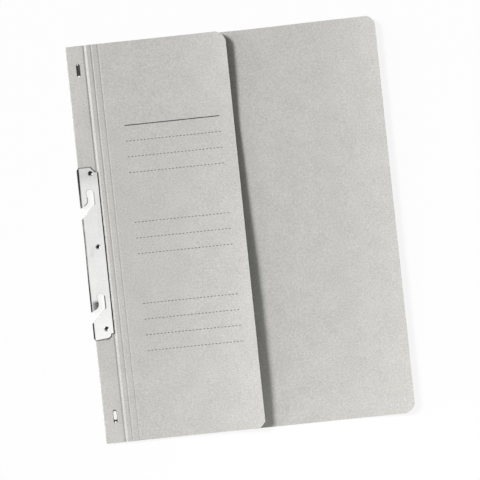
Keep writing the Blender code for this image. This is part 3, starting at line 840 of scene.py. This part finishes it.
def plate_painted_shade(tree):
    """Mask of shade and dark reflections painted on the plate: on cut edges and along the bend at the spine
    edge, broadest near its top; on the lower finger; and over bands of its length, most at the top."""
    coords = add_node(tree, "ShaderNodeTexCoord").outputs["Object"]
    to_spine = {"Vector": coords, "Location": (-SPINE_X / MM, 0, 0), "Scale": (1 / MM, 1 / MM, 1 / MM)}
    place = add_node(tree, "ShaderNodeMapping", to_spine).outputs[0]
    across, along, _ = add_node(tree, "ShaderNodeSeparateXYZ", {0: place}).outputs
    core = spread(tree, along, *BEND_TOP, *BEND_CORE)
    reach = spread(tree, along, *BEND_TOP, *BEND_REACH)
    off_middle = combine(tree, "ABSOLUTE", combine(tree, "SUBTRACT", along, BEND_BRIGHT))
    bend_place = spread(tree, off_middle, *BOW_FADE, BEND_DARK + PLATE_BOW[0], BEND_DARK)
    off_bend = combine(tree, "ABSOLUTE", combine(tree, "SUBTRACT", across, bend_place))
    bend = spread(tree, off_bend, reach, core)
    bend = combine(tree, "MULTIPLY", bend, spread(tree, off_middle, *BEND_FADE))
    finger_dark = combine(tree, "ADD", *(spread(tree, across, *rise) for rise in FINGER_SHADE))
    for value, span in ((along, FINGER_SHADE_TOP), (along, FINGER_SHADE_FOOT), (across, FINGER_SHADE_SIDE)):
        finger_dark = combine(tree, "MULTIPLY", finger_dark, spread(tree, value, *span))
    painted_shade = combine(tree, "MAXIMUM", combine(tree, "MAXIMUM", bend, finger_dark), painted_shade_marks(tree))
    shade_bands = [(spread(tree, along, low, high), share) for low, high, share in PLATE_SHADE_BANDS]
    return combine(tree, "MAXIMUM", painted_shade, weigh(tree, shade_bands))


PLATING = plated_group()
plated_steel = plated_material("bright plated steel", (0.88, 0.88, 0.87), (0.015, 0.015, 0.015), plate_painted_shade)
plate_p = ticks((-15.4, -1.9, 11), (-PLATE_RADIUS, PLATE_RADIUS, 19), (1.9, 15.4, 11))
plate_q = np.linspace(PLATE_BOTTOM, PLATE_TOP, 111)
plate_sockets = [circle(RIVET_ACROSS - PLATE_LEFT, along, RIVET_SOCKET) for along in RIVETS_ALONG.values()]
plate_slots = [
    both_leaves(hook_slot(along, 0, PLATE_LEFT), PLATE_LEFT, PLATE_RADIUS)[::-1] for along in HOOK_SEATS
]
plate_holes = [socket[::-1] for socket in plate_sockets] + [socket * [-1, 1] for socket in plate_sockets]
beside_slots = [inset(slot, away) for slot in plate_slots for away in (0.4, 0.7, 1.1)]
hook_plate = sheet_piece(
    "hook_plate_sheet", [both_leaves(plate_line(), PLATE_LEFT, PLATE_RADIUS), *plate_slots, *plate_holes],
    np.vstack([lattice(plate_p, plate_q), *beside_slots]), plate_sheet, PLATE, plated_steel,
    rounding=PLATE_ROUNDING, clear=0.12, mark=leaf_painted_shade, plain=len(plate_holes),
    body="back", slot="plated_steel",
)
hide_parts("hook_plate")


# Rivets
# Three tubular steel rivets clinch the plate to the margin. Their heads lie flush in the back of the plate;
# on the front each tube is flared into its hole, so its mouth is a small funnel.

RIVET_SIDES = 48
RIVET_LIT = (0.66, -0.75)
MOUTH_LIT = (0.3, 0.8)
MOUTHS = {
    "rivet_top": {"centre": (-0.15, 0.2), "dark": (1.5, 1.9), "rim": (1.15, 0.5)},
    "rivet_middle": {"centre": (-0.05, 0.2), "dark": (1.15, 1.6), "rim": (0.3, 0.5)},
    "rivet_bottom": {"centre": (0.15, 0.3), "dark": (1.25, 1.5), "rim": (0.3, 0.33)},
}
MOUTH_RIM = 0.3
RIVET_PROFILE = np.array([
    (1.0, 0.0), (1.62, 0.0), (1.82, 0.02), (1.84, 0.1), (1.27, 0.5), (1.25, 1.4), (1.27, 2.3), (1.84, 2.7),
    (1.82, 2.78), (1.62, 2.8), (1.5, 2.76), (1.2, 2.6), (0.93, 2.3), (0.85, 2.08), (0.85, 1.0), (0.7, 0.9),
])


def turned(profile, across, along, sides):
    """A profile of (radius, height) carried round an upright axis, with smooth normals. Flat discs close it
    at both ends."""
    turn = np.linspace(0, 2 * np.pi, sides, endpoint=False)
    spokes = np.column_stack([np.cos(turn), np.sin(turn), np.ones(sides)])
    outward = np.gradient(profile, axis=0)[:, ::-1] * [1, -1]
    points, out = ((line[:, None, [0, 0, 1]] * spokes).reshape(-1, 3) for line in (profile, outward))
    here, there = round_edges([turn])
    last = len(points) - sides
    faces = [here[::-1].tolist(), (last + here).tolist()]
    for low in range(0, last, sides):
        faces += (low + np.column_stack([here, there, there + sides, here + sides])).tolist()
    return points + [across, along, 0], faces, unit(out)


def mouth_painted_shade(points, along, centre, dark, rim):
    """Painted shade in a rivet's mouth: dark round its centre on the side turned from the light, fading
    between two radii, and at least the rim's share from the rim's radius on, which dims the rim's glint."""
    across, up, height = (points - [RIVET_ACROSS, along, 0]).T
    start, share = rim
    rest = share * ease(np.hypot(across, up), start, start + MOUTH_RIM)
    away = 1 - ease(across * RIVET_LIT[0] + up * RIVET_LIT[1], *MOUTH_LIT)
    away = away * (1 - ease(np.hypot(across - centre[0], up - centre[1]), *dark))
    return np.where(height > PLATE, np.maximum(away, rest), 0)


rivet_steel = plated_material("flared rivet steel", (0.74, 0.74, 0.74), (0.02, 0.02, 0.02), painted_shade_marks)
for node_name, along in RIVETS_ALONG.items():
    rivet_points, rivet_faces, rivet_normals = turned(RIVET_PROFILE, RIVET_ACROSS, along, RIVET_SIDES)
    rivet = make_piece(
        node_name + "_tube", rivet_points, rivet_faces, rivet_steel, body="back", slot="rivet_steel",
        shading=rivet_normals, marks=mouth_painted_shade(rivet_points, along, **MOUTHS[node_name]),
    )
    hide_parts(node_name)


# Reinforcement strip
# A strip of the same card, glued inside the back cover over the base of the tongue strip. A pressed crown
# makes room for the steel, and two slots let the tongues out.

FASTENER_ACROSS = 28.0
STRIP_SHEET = 0.3
STRIP_SIZE = (17.0, 124.0)
STRIP_CORNER = 2.0
STRIP_FOOT = 0.8
STRIP_CROWN = (3.2, 4.2)
CROWN_RISE = 0.37
TONGUE_SLOTS = (40.0, -40.0)
TONGUE_SLOT = (6.2, 1.1)


def strip_sheet(p, q):
    """Top of the strip over (offset across, along): level feet and a crown with an eased flank."""
    crown = CROWN_RISE * (1 - ease(np.abs(p), *STRIP_CROWN))
    return np.column_stack([FASTENER_ACROSS + p, q, STRIP_FOOT + crown])


def round_box(width, length, radius):
    """Closed outline of a box round the origin with round corners."""
    x, y = width / 2 - radius, length / 2 - radius
    corners = [((x, -y), -90), ((x, y), 0), ((-x, y), 90), ((-x, -y), 180)]
    loop = np.vstack([arc(centre, radius, start, start + 90, 6) for centre, start in corners])
    return dense(np.vstack([loop, loop[:1]]), 0.8)[:-1]


def slot_holes():
    """The two slots that the tongues pass through, with round ends, as holes."""
    width, length = TONGUE_SLOT
    return [(round_box(width, length, length / 2) + [0, along])[::-1] for along in TONGUE_SLOTS]


strip_p = ticks((-8, -4.4, 7), (-4.2, 4.2, 29), (4.4, 8, 7))
strip_card = sheet_piece(
    "reinforcement_strip_card", [round_box(*STRIP_SIZE, STRIP_CORNER), *slot_holes()],
    lattice(strip_p, np.linspace(-61.5, 61.5, 83)), strip_sheet, STRIP_SHEET, GREY_CARD,
    clear=0.15, body="back", slot="grey_card",
)
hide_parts("reinforcement_strip")


# Tongue strip
# A soft tinned steel strip, bent up at two places 80 mm apart. Its ends pass through the papers and the bar
# and are folded in over the bar.

TONGUE_SHEET = 0.25
TONGUE_WIDTH = 5.6
TONGUE_TIP = 10.0
TONGUE_LOW = 0.5
TONGUE_HIGH = 2.02
TONGUE_OUTER = 40.125
TONGUE_RADIUS = (TONGUE_HIGH - TONGUE_LOW) / 2
TONGUE_BASE = TONGUE_OUTER - TONGUE_RADIUS
TONGUE_CORNER = 2.2
TONGUE_ROUNDING = 0.08


def tongue_sheet(p, q):
    """Outside of the strip over (minus the offset across, run from the middle): level along the base, a half
    turn at each end and level again on the way back."""
    run = np.abs(q) - TONGUE_BASE
    turn = np.clip(run / TONGUE_RADIUS, 0, np.pi)
    back = np.maximum(run - np.pi * TONGUE_RADIUS, 0)
    along = TONGUE_BASE + np.minimum(run, 0) + TONGUE_RADIUS * np.sin(turn) - back
    height = TONGUE_LOW + TONGUE_RADIUS * (1 - np.cos(turn))
    return np.column_stack([FASTENER_ACROSS - p, np.sign(q) * along, height])


# The tinned pieces' cut edges are painted dark, standing for their dark reflections.
tinned_steel = plated_material("tinned steel", (0.56, 0.553, 0.525), (0.14, 0.14, 0.135), painted_shade_marks)
tongue_half = 2 * TONGUE_BASE + np.pi * TONGUE_RADIUS - TONGUE_TIP
tongue_q = ticks((0, 39, 40), (39.3, 42, 19), (43, tongue_half - 0.5, 28))
tongues = sheet_piece(
    "tongue_strip_sheet", [round_box(TONGUE_WIDTH, 2 * tongue_half, TONGUE_CORNER)],
    lattice(np.linspace(-2.4, 2.4, 7), np.concatenate([-tongue_q[:0:-1], tongue_q])),
    tongue_sheet, TONGUE_SHEET, tinned_steel,
    rounding=TONGUE_ROUNDING, clear=0.15, body="back", slot="tinned_steel",
)
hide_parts("tongue_strip")


# Compressor bar
# A flat tinned bar with half-round ends that presses on the papers. The tongues come up through its two
# slots.

BAR_SHEET = 0.4
BAR_SIZE = (9.0, 108.0)
BAR_TOP = 1.67
BAR_ROUNDING = 0.12


def bar_sheet(p, q):
    """Level top of the bar over (offset across, along)."""
    return np.column_stack([FASTENER_ACROSS + p, q, np.full_like(p, BAR_TOP)])


bar = sheet_piece(
    "compressor_bar_sheet", [oblong(0, 0, *BAR_SIZE), *slot_holes()],
    lattice(np.linspace(-3.8, 3.8, 9), np.linspace(-52, 52, 75)), bar_sheet, BAR_SHEET, tinned_steel,
    rounding=BAR_ROUNDING, clear=0.3, body="back", slot="tinned_steel",
)
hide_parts("compressor_bar")


# Lock slides
# Two tinned clips wrapped round the long edges of the bar. Pushed over the folded tongues, they hold them
# down; three pressed ridges give the finger a grip.

LOCK_SHEET = 0.3
LOCK_LENGTH = 8.0
LOCK_HALF = 4.95
LOCK_TOP = 2.42
LOCK_BOTTOM = 0.92
LOCK_LIP = 0.95
LOCK_BEND = 0.45
LOCK_ROUNDING = 0.09
LOCK_CORNER = 0.3
LOCK_PARTS = (
    LOCK_HALF - LOCK_BEND, LOCK_BEND * np.pi / 2, LOCK_TOP - LOCK_BOTTOM - 2 * LOCK_BEND,
    LOCK_BEND * np.pi / 2, LOCK_LIP - LOCK_BEND,
)
LOCKS = {"lock_slide_upper": (22.0, "lock_upper"), "lock_slide_lower": (-22.0, "lock_lower")}
RIDGES = (-2.0, 0.0, 2.0)
RIDGE_RISE = 0.12
RIDGE_WIDTH = 0.4
RIDGE_REACH = (2.6, 3.4)


def lock_sheet(p, q):
    """Outside of a clip over (run from the middle of its top, along): level, a quarter turn, down, a quarter
    turn and level under the bar; bell-shaped ridges stand on the top."""
    top, bend, side, low_bend, _ = np.cumsum(LOCK_PARTS)
    run = np.abs(p)
    first = np.clip((run - top) / LOCK_BEND, 0, np.pi / 2)
    down = np.clip(run, bend, side) - bend
    second = np.clip((run - side) / LOCK_BEND, 0, np.pi / 2)
    under = np.maximum(run - low_bend, 0)
    out = np.minimum(run, top) + LOCK_BEND * (np.sin(first) - (1 - np.cos(second))) - under
    height = LOCK_TOP - LOCK_BEND * (1 - np.cos(first)) - down - LOCK_BEND * np.sin(second)
    ridge = sum(swell(q, place, RIDGE_WIDTH) for place in RIDGES)
    height = height + RIDGE_RISE * ridge * (1 - ease(run, *RIDGE_REACH))
    return np.column_stack([FASTENER_ACROSS + np.sign(p) * out, q, height])


lock_half_run = sum(LOCK_PARTS)
lock_p = ticks((0, 4.4, 14), (4.5, lock_half_run - 0.2, 26))
for node_name, (along, body_name) in LOCKS.items():
    clip = sheet_piece(
        node_name + "_clip", [round_box(2 * lock_half_run, LOCK_LENGTH, LOCK_CORNER)],
        lattice(np.concatenate([-lock_p[:0:-1], lock_p]), np.linspace(-3.8, 3.8, 45)),
        lambda p, q: lock_sheet(p, q) + [0, along, 0], LOCK_SHEET, tinned_steel,
        rounding=LOCK_ROUNDING, body=body_name, slot="tinned_steel",
    )
    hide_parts(node_name)


# Table, light and camera
# The folder lies on a white table and is seen from straight above, turned a few degrees. A soft lamp shines
# from the upper left, a weak one low from the left, and a small one near the bottom edge.

CAMERA_HEIGHT = 2.0
CAMERA_PLACE = (-0.00043, -0.00767)
CAMERA_TURN = -5.95
CAMERA_LENS = 195.7
FILL_LIGHT = (0.206, 0.213, 0.203, 1)
SUN_LAMPS = {
    "key": {"strength": 3.21, "colour": (1.01, 1.0, 1.015), "width": 17.0, "turn": 28.0, "height": 40.0},
    "side": {"strength": 0.95, "colour": (1.0, 1.0, 1.0), "width": 24.0, "turn": 8.0, "height": 14.0},
}
NEAR_LAMP = {"place": (0.06, -0.30, 0.16), "aim": (0.03, -0.12, 0.0), "size": 0.12, "power": 0.125}
FLOOR_SIZE = 6.0
FLOOR_HEIGHT = -0.0001
FLOOR_SHADOW = 0.12


def show_white(tree, share, kind, shader):
    """A share of plain white in what the camera, mirrors and glass see, and a shader for the rest."""
    path = add_node(tree, "ShaderNodeLightPath").outputs
    seen = combine(tree, "MAXIMUM", path["Is Camera Ray"], path["Is Glossy Ray"])
    seen = combine(tree, "MAXIMUM", seen, path["Is Transmission Ray"])
    white = add_node(tree, kind, {"Color": (1, 1, 1, 1)})
    parts = {0: combine(tree, "MULTIPLY", seen, share), 1: shader.outputs[0], 2: white.outputs[0]}
    return add_node(tree, "ShaderNodeMixShader", parts).outputs[0]


def add_lamp(name, kind, place, aim, strength):
    """A lamp of a kind at a place, turned to what it shines on, that the camera doesn't see."""
    light = bpy.data.lights.new(name, kind)
    light.energy = strength
    lamp = put(name, light)
    lamp.location = place
    lamp.rotation_euler = (Vector(aim) - Vector(place)).to_track_quat("-Z", "Y").to_euler()
    lamp.visible_camera = False
    return light


world = bpy.data.worlds.new("studio")
bpy.context.scene.world = world
world.use_nodes = True
world_tree = world.node_tree
world_tree.nodes.clear()
fill_light = add_node(world_tree, "ShaderNodeBackground", {"Color": FILL_LIGHT})
studio = show_white(world_tree, 1.0, "ShaderNodeBackground", fill_light)
add_node(world_tree, "ShaderNodeOutputWorld", {0: studio})

floor_mesh = bpy.data.meshes.new("table")
floor_corners = FLOOR_SIZE / 2 * np.array([[-1, -1, 0], [1, -1, 0], [1, 1, 0], [-1, 1, 0]])
floor_mesh.from_pydata(floor_corners + [0, 0, FLOOR_HEIGHT], [], [(0, 1, 2, 3)])
table = put("table", floor_mesh)
paint, paint_tree, paint_shader = new_material("white table", 0.9)
paint_shader.inputs["Base Color"].default_value = (0.9, 0.9, 0.9, 1)
glow = show_white(paint_tree, 1 - FLOOR_SHADOW, "ShaderNodeEmission", paint_shader)
paint_tree.links.new(glow, paint_tree.nodes["Material Output"].inputs["Surface"])
floor_mesh.materials.append(paint)

for lamp_name, lamp in SUN_LAMPS.items():
    turn, rise = np.radians(lamp["turn"]), np.radians(lamp["height"])
    towards = (-np.cos(turn) * np.cos(rise), np.sin(turn) * np.cos(rise), np.sin(rise))
    sun = add_lamp(lamp_name, "SUN", towards, (0, 0, 0), lamp["strength"])
    sun.color = lamp["colour"]
    sun.angle = np.radians(lamp["width"])
near = add_lamp("near", "AREA", NEAR_LAMP["place"], NEAR_LAMP["aim"], NEAR_LAMP["power"])
near.size = NEAR_LAMP["size"]

lens = bpy.data.cameras.new("camera")
lens.lens = CAMERA_LENS
lens.sensor_width = 36.0
lens.clip_end = 20.0
camera = put("camera", lens)
camera.location = (*CAMERA_PLACE, CAMERA_HEIGHT)
camera.rotation_euler = (0, 0, np.radians(CAMERA_TURN))
bpy.context.scene.camera = camera
bpy.context.scene.view_settings.view_transform = "Standard"
